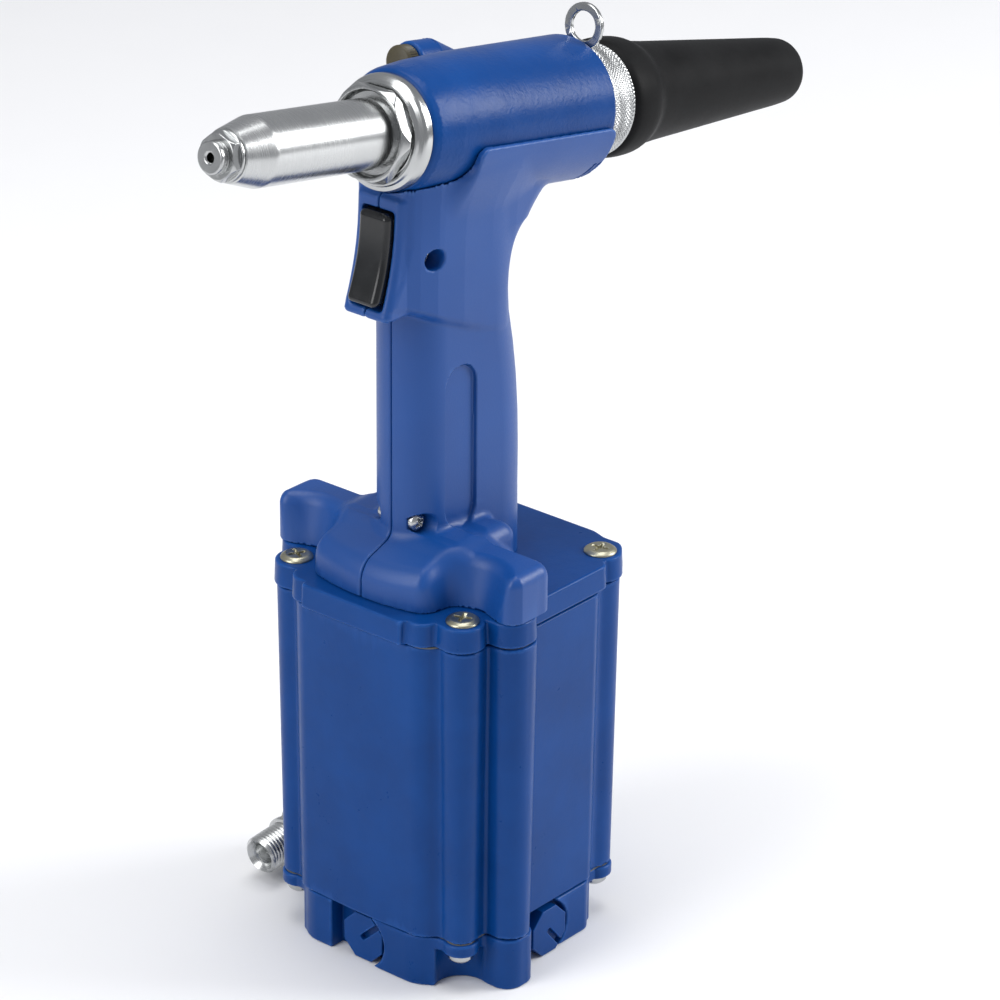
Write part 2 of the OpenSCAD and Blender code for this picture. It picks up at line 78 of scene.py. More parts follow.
def cut(a, b, r=0.0):
    """a without b, the edge rounded to radius r."""
    return meet(a, -b, r) if r else np.maximum(a, -b)


def slab(v, lo, hi):
    return np.abs(v - (lo + hi) / 2) - (hi - lo) / 2


def rect(u, v, u0, u1, v0, v1, r):
    a, b = slab(u, u0, u1) + r, slab(v, v0, v1) + r
    return np.hypot(np.maximum(a, 0), np.maximum(b, 0)) + np.minimum(np.maximum(a, b), 0) - r


def block(x, y, z, lo, hi, r=0.0):
    return meet(rect(x, y, lo[0], hi[0], lo[1], hi[1], r), slab(z, lo[2], hi[2]), max(r, 0.01))


def egg(u, v, u0, u1, r0, r1):
    """Round ends of radius r0 at u0 and r1 at u1, joined by tangents."""
    h = u1 - u0
    b = (r0 - r1) / h
    a = np.sqrt(1 - b * b)
    p, q = np.abs(v), u - u0
    k = -b * p + a * q
    side = np.where(k > a * h, np.hypot(p, q - h) - r1, p * a + q * b - r0)
    return np.where(k < 0, np.hypot(p, q) - r0, side)


def hexagon(u, v, flat, turn=0.0):
    d = -1e9
    for i in range(3):
        a = turn + i * math.pi / 3
        d = np.maximum(d, np.abs(u * math.cos(a) + v * math.sin(a)))
    return d - flat


def barrel(x, y, z):
    """(t rearward along the barrel, down, side)."""
    w = z - AXIS_Z
    return x * CT - w * ST, -x * ST - w * CT, y


def corner(x, y):
    """Coordinates about the nearest corner screw."""
    return np.where(x < 0, -x - HALF, x - REAR), np.abs(y) - HALF


# ---------------------------------------------------------------- meshes


def in_parts(f, p, n=400000):
    return np.concatenate([f(*p[i:i + n].T) for i in range(0, len(p), n)])


def sample(f, lo, hi, h, b=8):
    """Values on a grid, worked out only in the blocks that the surface may pass."""
    lo = np.array(lo, float)
    nb = np.ceil((np.array(hi) - lo) / (h * b)).astype(int)
    centre = np.stack(np.meshgrid(*[np.arange(n) for n in nb], indexing="ij"), -1).reshape(-1, 3)
    d = in_parts(f, lo + (centre + 0.5) * b * h)
    v = np.repeat(np.repeat(np.repeat(d.reshape(nb), b, 0), b, 1), b, 2)
    v = np.pad(v, ((0, 1),) * 3, mode="edge").astype(np.float32)
    near = centre[np.abs(d) < b * h * 0.9 + h]
    o = np.stack(np.meshgrid(*[np.arange(b + 1)] * 3, indexing="ij"), -1).reshape(-1, 3)
    for i in range(0, len(near), 500):
        g = (near[i:i + 500, None] * b + o[None]).reshape(-1, 3)
        v[tuple(g.T)] = f(*(lo + g * h).T)
    return v, lo


def gradient(f, p, e=0.02):
    g = np.zeros_like(p)
    for i in range(3):
        s = np.zeros(3)
        s[i] = e
        g[:, i] = in_parts(f, p + s) - in_parts(f, p - s)
    return g / (2 * e)


def settle(f, p, steps, reach):
    """Moves points onto the surface."""
    for _ in range(steps):
        g = gradient(f, p)
        move = g * (in_parts(f, p) / np.maximum((g * g).sum(1), 0.2))[:, None]
        size = np.linalg.norm(move, axis=1)[:, None]
        p = p - move * np.minimum(1, reach / np.maximum(size, 1e-9))
    return p


def net(f, lo, hi, h):
    """Surface net: one vertex in each cell that the surface passes, one quad for each edge it cuts."""
    v, lo = sample(f, lo, hi, h)
    inside = v < 0
    n = np.array(v.shape) - 1
    corners = [(i, j, k) for i in (0, 1) for j in (0, 1) for k in (0, 1)]
    at = lambda a, c: a[c[0]:n[0] + c[0], c[1]:n[1] + c[1], c[2]:n[2] + c[2]]
    count = sum(at(inside, c).astype(np.int8) for c in corners)
    mixed = (count > 0) & (count < 8)
    cell = np.argwhere(mixed)
    index = -np.ones(mixed.shape, np.int64)
    index[mixed] = np.arange(len(cell))
    total, hits = np.zeros((len(cell), 3)), np.zeros(len(cell))
    for c in corners:
        for axis in range(3):
            if c[axis]:
                continue
            e = list(c)
            e[axis] = 1
            va, vb = at(v, c)[mixed].astype(float), at(v, e)[mixed].astype(float)
            crossing = (va < 0) != (vb < 0)
            t = np.where(crossing, va / np.where(crossing, va - vb, 1), 0)
            point = np.array(c, float)[None] + t[:, None] * np.eye(3)[axis][None]
            total += point * crossing[:, None]
            hits += crossing
    p = lo + (cell + total / hits[:, None]) * h
    quads = []
    for axis in range(3):
        u, w = [(1, 2), (2, 0), (0, 1)][axis]
        first = [slice(1, -1)] * 3
        second = list(first)
        first[axis], second[axis] = slice(0, -1), slice(1, None)
        a, b = inside[tuple(first)], inside[tuple(second)]
        for start in (True, False):
            g = np.argwhere((a == start) & (b != start)) + 1
            g[:, axis] -= 1
            ring = []
            for du, dw in ((-1, -1), (0, -1), (0, 0), (-1, 0)):
                q = g.copy()
                q[:, u] += du
                q[:, w] += dw
                ring.append(index[tuple(q.T)])
            ring = np.stack(ring, 1)
            quads.append(ring if start else ring[:, ::-1])
    return p, np.concatenate(quads)


def relax(f, p, quads, rounds, reach):
    """Evens out the net along the surface."""
    a, b = quads.ravel(), np.roll(quads, -1, 1).ravel()
    degree = np.bincount(a, minlength=len(p)) + np.bincount(b, minlength=len(p))
    for _ in range(rounds):
        total = [np.bincount(a, p[b, i], len(p)) + np.bincount(b, p[a, i], len(p)) for i in range(3)]
        mean = np.stack(total, 1)
        p = settle(f, p * 0.4 + 0.6 * mean / degree[:, None], 1, reach)
    return settle(f, p, 1, reach)


def mesh_object(name, p, faces):
    """faces is an array of triangles or quads, or a list of them."""
    mesh = bpy.data.meshes.new(name)
    groups = faces if isinstance(faces, list) else [faces]
    loops = np.concatenate([g.ravel() for g in groups]).astype(np.int32)
    sizes = np.concatenate([np.full(len(g), g.shape[1]) for g in groups])
    mesh.vertices.add(len(p))
    mesh.vertices.foreach_set("co", (np.asarray(p) * MM).astype(np.float32).ravel())
    mesh.loops.add(len(loops))
    mesh.loops.foreach_set("vertex_index", loops)
    mesh.polygons.add(len(sizes))
    mesh.polygons.foreach_set("loop_start", np.concatenate([[0], np.cumsum(sizes)[:-1]]).astype(np.int32))
    mesh.update(calc_edges=True)
    mesh.validate()
    mesh.polygons.foreach_set("use_smooth", np.ones(len(mesh.polygons), bool))
    obj = bpy.data.objects.new(name, mesh)
    bpy.context.collection.objects.link(obj)
    return obj


def thin_out(obj, ratio):
    mod = obj.modifiers.new("thin", "DECIMATE")
    mod.ratio = ratio
    done = bpy.data.meshes.new_from_object(obj.evaluated_get(bpy.context.evaluated_depsgraph_get()))
    obj.modifiers.clear()
    obj.data = done
    done.polygons.foreach_set("use_smooth", np.ones(len(done.polygons), bool))


def place(obj, body, slot, *nodes):
    obj.data.materials.clear()
    obj.data.materials.append(MATERIALS[slot])
    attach(obj, body)
    if nodes:
        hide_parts(*nodes)
    return obj


def shape(name, f, lo, hi, h, ratio=0.35):
    p, quads = net(f, lo, hi, h)
    p = relax(f, p, quads, 2, h)
    obj = mesh_object(name, p, quads)
    if ratio < 1:
        thin_out(obj, ratio)
    co = np.zeros(len(obj.data.vertices) * 3, np.float32)
    obj.data.vertices.foreach_get("co", co)
    normal = gradient(f, co.reshape(-1, 3).astype(float) / MM, 0.05)
    normal /= np.maximum(np.linalg.norm(normal, axis=1), 1e-9)[:, None]
    obj.data.normals_split_custom_set_from_vertices(normal.tolist())
    return obj


def from_barrel(t, down, side):
    return np.stack([t * CT - down * ST, side, AXIS_Z - t * ST - down * CT], -1)


def revolve(name, profile, n=128, bump=None, place_at=from_barrel):
    """A turned piece. profile is a closed loop of (t, r); bump(t, r, angle) adds to r."""
    prof = np.array(profile, float)
    ang = np.arange(n) * 2 * math.pi / n
    t, a = np.meshgrid(prof[:, 0], ang, indexing="ij")
    r = np.repeat(prof[:, 1][:, None], n, 1)
    if bump is not None:
        r = r + bump(t, r, a)
    p = place_at(t, -r * np.cos(a), r * np.sin(a)).reshape(-1, 3)
    m = len(prof)
    i, j = np.meshgrid(np.arange(m), np.arange(n), indexing="ij")
    k, l = (i + 1) % m, (j + 1) % n
    quads = np.stack([i * n + j, i * n + l, k * n + l, k * n + j], -1).reshape(-1, 4)
    obj = mesh_object(name, p, quads)
    tidy(obj)
    return obj


def tidy(obj):
    """Merges points on the axis, drops faces without area and turns all faces outward."""
    bm = bmesh.new()
    bm.from_mesh(obj.data)
    bmesh.ops.remove_doubles(bm, verts=bm.verts, dist=1e-6)
    bmesh.ops.dissolve_degenerate(bm, edges=bm.edges, dist=1e-7)
    bmesh.ops.recalc_face_normals(bm, faces=bm.faces)
    bm.to_mesh(obj.data)
    bm.free()


def sharpen(obj, degrees=28):
    """Keeps edges above this angle crisp."""
    obj.data.set_sharp_from_angle(angle=math.radians(degrees))


def fine(profile, step):
    """Adds points to a profile's long runs."""
    out = []
    for (t0, r0), (t1, r1) in zip(profile, profile[1:] + profile[:1]):
        n = max(1, round(math.hypot(t1 - t0, r1 - r0) / step))
        out += [(t0 + (t1 - t0) * i / n, r0 + (r1 - r0) * i / n) for i in range(n)]
    return out


def sweep(name, path, r, n=10):
    """A round wire along path, with flat ends."""
    path = np.array(path, float)
    tangent = np.gradient(path, axis=0)
    tangent /= np.linalg.norm(tangent, axis=1)[:, None]
    axis = np.array([CT, 0, -ST])
    side = np.cross(tangent, axis)
    side /= np.linalg.norm(side, axis=1)[:, None]
    up = np.cross(side, tangent)
    a = np.arange(n) * 2 * math.pi / n
    ring = np.cos(a)[None, :, None] * side[:, None] + np.sin(a)[None, :, None] * up[:, None]
    p = (path[:, None] + r * ring).reshape(-1, 3)
    i, j = np.meshgrid(np.arange(len(path) - 1), np.arange(n), indexing="ij")
    l = (j + 1) % n
    quads = np.stack([i * n + j, i * n + l, (i + 1) * n + l, (i + 1) * n + j], -1).reshape(-1, 4)
    ends = [np.arange(n)[None, ::-1], (len(path) - 1) * n + np.arange(n)[None]]
    obj = mesh_object(name, p, [quads, *ends])
    tidy(obj)
    return obj


# ---------------------------------------------------------------- materials


class Nodes:
    """Short forms for building a node tree."""

    def __init__(self, name):
        self.mat = bpy.data.materials.new(name)
        self.mat.use_nodes = True
        self.tree = self.mat.node_tree
        self.bsdf = self.tree.nodes["Principled BSDF"]
        self.coord = self.add("ShaderNodeTexCoord").outputs["Object"]

    def add(self, kind, **values):
        node = self.tree.nodes.new(kind)
        for key, value in values.items():
            if hasattr(node, key):
                setattr(node, key, value)
            else:
                node.inputs[key.replace("_", " ")].default_value = value
        return node

    def link(self, a, b):
        self.tree.links.new(a, b)

    def mapped(self, scale, turn=0.0):
        m = self.add("ShaderNodeMapping")
        m.inputs["Rotation"].default_value = (0, turn, 0)
        m.inputs["Scale"].default_value = scale
        self.link(self.coord, m.inputs["Vector"])
        return m.outputs[0]

    def noise(self, scale, detail=3.0, rough=0.5, vector=None, distortion=0.0):
        n = self.add("ShaderNodeTexNoise", Scale=scale, Detail=detail, Roughness=rough,
                     Distortion=distortion)
        self.link(vector or self.coord, n.inputs["Vector"])
        return n.outputs["Fac"]

    def span(self, value, low, high, out_low, out_high):
        r = self.add("ShaderNodeMapRange")
        limits = (("From Min", low), ("From Max", high), ("To Min", out_low), ("To Max", out_high))
        for key, number in limits:
            r.inputs[key].default_value = number
        self.link(value, r.inputs["Value"])
        return r.outputs["Result"]

    def mix(self, factor, a, b):
        m = self.add("ShaderNodeMix", data_type="RGBA")
        for key, value in ((0, factor), (6, a), (7, b)):
            if isinstance(value, tuple):
                m.inputs[key].default_value = (*value, 1)
            else:
                self.link(value, m.inputs[key])
        return m.outputs[2]

    def sum(self, a, b, share):
        m = self.add("ShaderNodeMath", operation="MULTIPLY_ADD")
        self.link(b, m.inputs[0])
        m.inputs[1].default_value = share
        self.link(a, m.inputs[2])
        return m.outputs[0]

    def edges(self, low=0.52, high=0.60):
        # Mask of the convex edges, from pointiness; used to paint edge highlights into the colour.
        g = self.add("ShaderNodeNewGeometry")
        return self.span(g.outputs["Pointiness"], low, high, 0.0, 1.0)

    def finish(self, colour=None, rough=None, height=None, depth=0.0001, strength=0.5, **fixed):
        for key, value in fixed.items():
            self.bsdf.inputs[key.replace("_", " ")].default_value = value
        if isinstance(colour, tuple):
            self.bsdf.inputs["Base Color"].default_value = (*colour, 1)
        elif colour is not None:
            self.link(colour, self.bsdf.inputs["Base Color"])
        if rough is not None:
            self.link(rough, self.bsdf.inputs["Roughness"])
        if height is not None:
            b = self.add("ShaderNodeBump", Strength=strength, Distance=depth)
            self.link(height, b.inputs["Height"])
            self.link(b.outputs[0], self.bsdf.inputs["Normal"])
        return self.mat


def enamel(name, cast=0.0):
    """Satin blue paint over a die casting: orange peel, faint blotches, and a painted highlight: lighter
    colour along the convex edges.
    """
    n = Nodes(name)
    blotch = n.noise(28, 4, 0.6)
    grain = n.noise(900, 3, 0.6)
    peel = n.noise(260, 4, 0.65)
    base = n.mix(n.span(blotch, 0.35, 0.65, 0, 1), (0.0012, 0.040, 0.185), (0.0016, 0.050, 0.225))
    # Painted highlight: lighter blue on the convex edges, from pointiness, stands in for edge highlights.
    colour = n.mix(n.edges(), base, (0.02, 0.10, 0.36))
    rough = n.span(n.sum(peel, blotch, 0.6), 0.5, 1.1, 0.26, 0.38)
    height = n.sum(n.sum(peel, grain, 0.35), n.noise(330, 2, 0.5, distortion=1.5), cast)
    return n.finish(colour, rough, height, 0.00012, 0.35 + 0.3 * (cast > 0), Specular_IOR_Level=0.17)


def nylon(name):
    """Moulded blue nylon with a fine even grain, and a painted highlight: lighter colour along the convex
    edges.
    """
    n = Nodes(name)
    grain = n.noise(1700, 2, 0.5)
    blotch = n.noise(20, 3, 0.5)
    flow = n.noise(60, 2, 0.5, n.mapped((1, 1, 0.25)))
    base = n.mix(n.span(blotch, 0.35, 0.65, 0, 1), (0.0025, 0.052, 0.240), (0.0035, 0.062, 0.275))
    # Painted highlight: lighter blue on the convex edges, from pointiness, stands in for edge highlights.
    colour = n.mix(n.edges(0.53, 0.62), base, (0.03, 0.12, 0.38))
    rough = n.span(n.sum(grain, flow, 0.7), 0.5, 1.2, 0.34, 0.48)
    return n.finish(colour, rough, grain, 0.00006, 0.45, Specular_IOR_Level=0.45)


def steel(name, colour, low, high, lines):
    """Bare steel; lines is the share of the fine rings that turning leaves around the barrel's axis."""
    n = Nodes(name)
    stain = n.noise(45, 4, 0.6)
    rings = n.noise(1.0, 2, 0.7, n.mapped((5200, 60, 60), -TILT))
    scuff = n.noise(400, 5, 0.7, n.mapped((1, 1, 6)), 0.6)
    dark = tuple(c * 0.82 for c in colour)
    tint = n.mix(n.span(n.sum(stain, rings, lines), 0.35, 0.65 + lines, 0, 1), dark, colour)
    rough = n.span(n.sum(n.sum(stain, rings, lines), scuff, 0.3), 0.4, 1.0 + lines, low, high)
    height = n.sum(n.span(rings, 0, 1, 0, lines), scuff, 0.15)
    return n.finish(tint, rough, height, 0.00002, 0.4, Metallic=1.0)


def rubber(name, colour, low=0.42, high=0.6):
    n = Nodes(name)
    dust = n.noise(35, 5, 0.65)
    grain = n.noise(1300, 2, 0.5)
    pale = tuple(c * 1.6 + 0.004 for c in colour)
    tint = n.mix(n.span(dust, 0.4, 0.72, 0, 1), colour, pale)
    return n.finish(tint, n.span(n.sum(dust, grain, 0.3), 0.45, 0.95, low, high), grain, 0.00006, 0.3,
                    Specular_IOR_Level=0.06)


def gloss(name):
    n = Nodes(name)
    smear = n.noise(60, 4, 0.6)
    scuff = n.noise(500, 4, 0.7, n.mapped((1, 1, 5)), 0.4)
    tint = n.mix(n.span(smear, 0.4, 0.7, 0, 1), (0.006, 0.007, 0.008), (0.011, 0.012, 0.014))
    return n.finish(tint, n.span(n.sum(smear, scuff, 0.4), 0.5, 1.0, 0.16, 0.30), scuff, 0.00002, 0.15)


def plain(name, colour, metallic, low, high, grain=700, depth=0.00004):
    n = Nodes(name)
    stain = n.noise(50, 4, 0.6)
    fleck = n.noise(grain, 3, 0.6)
    dark = tuple(c * 0.75 for c in colour)
    tint = n.mix(n.span(n.sum(stain, fleck, 0.4), 0.45, 0.9, 0, 1), dark, colour)
    return n.finish(tint, n.span(n.sum(stain, fleck, 0.5), 0.5, 1.0, low, high), fleck, depth, 0.4,
                    Metallic=metallic)


MATERIALS = {
    "blue_paint": enamel("blue_enamel"),
    "blue_nylon": nylon("blue_nylon"),
    "black_gloss": gloss("black_gloss"),
    "black_rubber": rubber("black_rubber", (0.0065, 0.0066, 0.007), 0.42, 0.60),
    "seal_rubber": rubber("seal_rubber", (0.02, 0.02, 0.02)),
    "gasket_fibre": plain("gasket_fibre", (0.12, 0.12, 0.11), 0.0, 0.7, 0.9, 1500),
    "polished_steel": steel("polished_steel", (0.50, 0.51, 0.51), 0.15, 0.27, 0.15),
    "turned_steel": steel("turned_steel", (0.56, 0.57, 0.57), 0.20, 0.34, 1.0),
    "dark_steel": steel("dark_steel", (0.22, 0.22, 0.23), 0.25, 0.4, 0.5),
    "zinc_steel": plain("zinc_steel", (0.50, 0.48, 0.36), 1.0, 0.25, 0.40, 500),
    "bare_aluminium": plain("bare_aluminium", (0.75, 0.76, 0.78), 1.0, 0.30, 0.45, 900),
    "plain_brass": plain("plain_brass", (0.68, 0.50, 0.22), 1.0, 0.25, 0.4, 900),
    "olive_plastic": plain("olive_plastic", (0.055, 0.045, 0.020), 0.0, 0.4, 0.55, 900),
}
for row in frame["record"]["subparts"]:
    for held in frame["nodes"][row["node"]].material_slots:
        held.material = MATERIALS[row["material_slot"]]

# ---------------------------------------------------------------- air cylinder, plate and cap


def ribs(x, y, g, end=49.6):
    return rect(x, y, -28.5 - g, -13 + g, -end - g / 2, end + g / 2, 7)


def cylinder_plan(x, y, g):
    """Outline of the air cylinder; g moves every face outward."""
    u, v = corner(x, y)
    d = rect(x, y, -39.4 - g, 37.2 + g, -39.4 - g, 39.4 + g, 7)
    d = join(d, rect(x - 0.9 * (y / 28) ** 2, y, -45.1 - g, 20, -29.5, 29.5, 8), 2)
    d = join(d, rect(x, y, 0, 40.2 + g, -26, 26, 5), 2)
    d = join(d, rect(x, y, -26, 24, -42.4 - g, 42.4 + g, 5), 2)
    d = np.maximum(d, -(np.hypot(u - 7.4, v - 7.4) - 5.0))
    d = join(d, np.hypot(u, v) - 6.3 - g, 1.6)
    return join(d, ribs(x, y, g), 1.2)


def air_cylinder(x, y, z):
    g = -1.1 * (119.6 - z) / 101.6
    d = meet(cylinder_plan(x, y, g), slab(z, 18, 119.6), 0.5)
    d = cut(d, np.hypot(x, y) - 38, 0.4)
    u, v = corner(x, y)
    d = np.maximum(d, 2.15 - np.hypot(u, v))
    return np.maximum(d, 2.5 - np.maximum(np.hypot(x + 20.75, np.abs(y) - 44.6), (18 + 4 - z) * 0.7))


def at_bolts(x, y):
    """Distance from the nearest screw of the head's foot."""
    return np.hypot(np.where(x < 0, x + 15, x - 13.5), np.abs(y) - np.where(x < 0, 10.5, 8.5))


def top_plate(x, y, z):
    u, v = corner(x, y)
    g = 0.35 - 0.35 * (z - 120.1) / 8 - 0.1
    d = rect(x, y, -40.4 - g, 40.8 + g, -37.6 - g, 37.6 + g, 4)
    d = join(d, rect(x, y, -47.1 - g, 0, -20.4, 20.4, 1), 0.8)
    d = join(d, rect(x, y, -45 - g, 0, -28.5, 28.5, 5), 1.2)
    d = join(d, rect(x, y, 0, 42.0 + g, -27, 27, 5), 3)
    d = join(d, rect(x, y, -26, 27, -42.3 - g, 42.3 + g, 4), 2.5)
    d = np.maximum(d, -(np.hypot(u - 8.0, v - 8.0) - 5.0))
    d = join(d, np.hypot(u, v) - 6.9 - g, 1.6)
    d = join(d, ribs(x, y, g, 49.3), 1.4)
    d = meet(d, slab(z, 120.1, PLATE_TOP), 0.7)
    d = np.maximum(d, 2.3 - np.hypot(u, v))
    d = np.maximum(d, np.minimum(11 - np.hypot(x, y), 9.0))
    low = 122.1 - z
    d = np.maximum(d, -np.maximum(at_bolts(x, y) - 1.6, low))
    return np.maximum(d, -np.maximum(np.hypot(x + 15, y) - 2.5, low))


def pocket(depth, side, z):
    """A port pocket seen along its axis: round near wall, straight far wall, open below."""
    hole = np.minimum(np.hypot(side, z - PORT_Z) - 9.6, np.maximum(slab(side, 0, 12.5), slab(z, -9, 25)))
    return np.maximum(hole, 37.5 - depth)


def base_cap(x, y, z):
    u, v = corner(x, y)
    d = rect(x, y, -39, 34.6, -38, 38, 6)
    d = join(d, rect(x, y, -43.0, 0, -29.5, 29.5, 11), 2)
    d = join(d, rect(x, y, 0, 37.6, -26, 26, 6), 2)
    d = join(d, rect(x, y, -27, 23, -41.2, 40.2, 5), 2)
    d = join(d, rect(x, y, -27.4, -13, -48.4, 0, 6), 1.2)
    scoop = np.maximum(np.hypot(u - 1.7, v - 1.7) - 8.4, z - 13.3)
    d = meet(d, slab(z, 0, 17.5), 0.6)
    d = cut(d, scoop, 1.1)
    lug = meet(np.hypot(u, v) - 5.7, slab(z, 13.3, 17.5), 0.7)
    d = np.minimum(d, lug)
    d = cut(d, pocket(-x, y, z), 0.5)
    d = cut(d, pocket(-y, -x, z), 0.5)
    d = cut(d, np.maximum(np.hypot(x, y) - 33, 6 - z), 0.4)
    d = np.maximum(d, 2.2 - np.hypot(u, v))
    d = np.maximum(d, -np.maximum(np.hypot(y, z - PORT_Z) - 4.9, slab(x, -50, -20)))
    d = np.maximum(d, -np.maximum(np.hypot(x, z - PORT_Z) - 4.9, slab(y, -50, -20)))
    return np.maximum(d, -np.maximum(np.hypot(x + 2, z - 12.2) - 4.9, slab(y, 20, 50)))


place(shape("air_cylinder_casting", air_cylinder, (-48, -52, 16), (45, 52, 122), 0.9, 0.25),
      "housing", "blue_paint", "air_cylinder")
place(shape("top_plate_casting", top_plate, (-50, -52, 118), (46, 52, 130), 0.7, 0.3),
      "housing", "blue_paint", "top_plate")
place(shape("base_cap_casting", base_cap, (-46, -51, -2), (44, 44, 20), 0.7, 0.35),
      "housing", "blue_paint", "base_cap")


def plug(depth, side, z, rise):
    """Octagonal port plug with a slot from its centre to one edge."""
    w = z - PORT_Z
    oct_d = np.maximum(np.maximum(np.abs(side), np.abs(w)), (np.abs(side) + np.abs(w)) / math.sqrt(2)) - 8.0
    d = meet(oct_d, slab(depth, 37.6, 42), 0.35)
    d = np.minimum(d, np.maximum(np.hypot(side, w) - 4.85, slab(depth, 28, 38)))
    a = math.radians(rise)
    along, across = -side * math.cos(a) + w * math.sin(a), side * math.sin(a) + w * math.cos(a)
    return cut(d, np.maximum(rect(along, across, -0.9, 12, -0.95, 0.95, 0.9), 40.0 - depth), 0.25)


place(shape("front_plug_cast", lambda x, y, z: plug(-x, y, z, 43), (-43, -9.5, -1), (-27, 9.5, 18),
            0.3, 0.4), "housing", "blue_paint", "front_port_plug")
place(shape("side_plug_cast", lambda x, y, z: plug(-y, -x, z, -50), (-9.5, -43, -1), (9.5, -27, 18),
            0.3, 0.4), "housing", "blue_paint", "side_port_plug")


def cross_slot(u, v, depth, deep, wide=0.62, long=3.0):
    """Cross recess that narrows as it goes down."""
    arm = np.minimum(np.maximum(np.abs(u) - wide + 0.12 * depth, np.abs(v) - long + 0.8 * depth),
                     np.maximum(np.abs(v) - wide + 0.12 * depth, np.abs(u) - long + 0.8 * depth))
    centre = (np.abs(u) + np.abs(v)) / math.sqrt(2) - 0.95 + 0.3 * depth
    return np.maximum(np.minimum(arm, centre), depth - deep)


def turned_about(u, v, degrees):
    a = math.radians(degrees)
    return u * math.cos(a) + v * math.sin(a), v * math.cos(a) - u * math.sin(a)


def plate_screw(cx, cy, degrees):
    def f(x, y, z):
        u, v = x - cx, y - cy
        r, h = np.hypot(u, v), z - PLATE_TOP
        head = meet(meet(r - 5.25, slab(h, 0, 1.45), 0.2), (r - 4.55) * 0.6 + (h - 1.0) * 0.8, 0.3)
        a, b = turned_about(u, v, degrees)
        head = cut(head, cross_slot(a, b, 1.45 - h, 1.3), 0.12)
        return np.minimum(head, np.maximum(r - 2.1, slab(h, -20, 0.2)))
    return f


def merged(name, parts):
    """One object from several."""
    p, groups, base = [], [], 0
    for obj in parts:
        co = np.zeros(len(obj.data.vertices) * 3, np.float32)
        obj.data.vertices.foreach_get("co", co)
        p.append(co.reshape(-1, 3) / MM)
        tri = [tuple(poly.vertices) for poly in obj.data.polygons]
        for n in (3, 4):
            if any(len(t) == n for t in tri):
                groups.append(np.array([t for t in tri if len(t) == n]) + base)
        base += len(co) // 3
        bpy.data.objects.remove(obj)
    return mesh_object(name, np.concatenate(p), groups)


screws = []
for cx, cy, degrees in ((-HALF, -HALF, 22), (-HALF, HALF, 65), (REAR, -HALF, 10), (REAR, HALF, 40)):
    lo, hi = (cx - 6, cy - 6, 107), (cx + 6, cy + 6, 130.5)
    screws.append(shape("s", plate_screw(cx, cy, degrees), lo, hi, 0.22, 0.5))
obj = merged("plate_cross_screws", screws)
sharpen(obj, 35)
place(obj, "housing", "zinc_steel", "plate_screws")


def dome_screw(cx, cy):
    def f(x, y, z):
        r, h = np.hypot(x - cx, y - cy), 13.3 - z
        dome = np.maximum(np.hypot(r, h + 1.5) - 5.4, meet(r - 4.3, -h, 0.1))
        dome = meet(dome, r - 4.25, 0.3)
        u, v = x - cx, y - cy
        dome = cut(dome, np.maximum(hexagon(u, v, 1.5), 2.2 - h), 0.15)
        return np.minimum(dome, np.maximum(r - 2.1, slab(h, -18, 0.2)))
    return f


screws = []
for cx in (-HALF, REAR):
    for cy in (-HALF, HALF):
        lo, hi = (cx - 5, cy - 5, 8), (cx + 5, cy + 5, 32.5)
        screws.append(shape("s", dome_screw(cx, cy), lo, hi, 0.25, 0.5))
obj = merged("base_dome_screws", screws)
sharpen(obj, 35)
place(obj, "housing", "polished_steel", "base_screws")

# ---------------------------------------------------------------- head casting


def head_r(t):
    return np.interp(t, [-29.6, -27, -18, 0, 50], [17.9, 18.9, 19.9, 20.8, 21.4])


def foot_plan(x, y, g):
    """The foot of the head's oil column; g moves every face outward."""
    d = np.minimum(rect(x, y, -19.5 - g, 2 + g, -14.5 - g, 14.5 + g, 4), np.hypot(x - 8, y) - 12.8 - g)
    return np.minimum(d, rect(x, y, -2, 8, -12.8 - g, 12.8 + g, 0))


def head_casting(x, y, z):
    t, down, side = barrel(x, y, z)
    r = np.hypot(down, side)
    d = meet((r - head_r(t)) * 0.9, slab(t, -29.6, 51.9), 1.1)
    kr = np.hypot(down + KNOB_UP, side - KNOB_SIDE)
    boss = meet(kr - 6.0, slab(t, 6.4, 16.6), 0.8)
    cone = np.maximum((kr - 6.0) * 0.93 + (t - 16.4) * 0.36, slab(t, 15.6, 30))
    reach = 27.87
    along = (-KNOB_UP * down + KNOB_SIDE * side) / reach
    across = (KNOB_SIDE * down + KNOB_UP * side) / reach
    web = np.maximum(rect(along, across, 0, 24, -4.5, 4.5, 1), slab(t, 7.4, 21))
    d = join(d, np.minimum(np.minimum(boss, cone), web), 3)
    r0 = np.hypot(x, y)
    d = np.minimum(d, np.maximum(r0 - 10.5, slab(z, PLATE_TOP, 252.4)))
    d = np.minimum(d, np.maximum(foot_plan(x, y, 0), slab(z, PLATE_TOP, 133.1)))
    d = np.maximum(d, -np.maximum(r - 16, slab(t, -6, 60)))
    d = np.maximum(d, -np.maximum(r - 7.05, slab(t, -40, 51)))
    d = np.maximum(d, -np.maximum(r - 12.95, slab(t, -40, -12)))
    d = np.maximum(d, -np.maximum(kr - 3, slab(t, 3, 17.4)))
    d = np.maximum(d, -np.maximum(r0 - 7.1, slab(z, 120, 201.1)))
    low = np.maximum(PLATE_TOP - z - 2, z - 136.1)
    d = np.maximum(d, -np.maximum(at_bolts(x, y) - 1.8, low))
    return np.maximum(d, -np.maximum(np.hypot(x + 15, y) - 2.6, low))


obj = place(shape("head_casting_cast", head_casting, (-36, -24, 126), (60, 38, 302), 0.75, 0.3),
            "housing", "blue_paint", "head_casting")
obj.data.materials[0] = enamel("blue_enamel_cast", 1.1)

# ---------------------------------------------------------------- covers

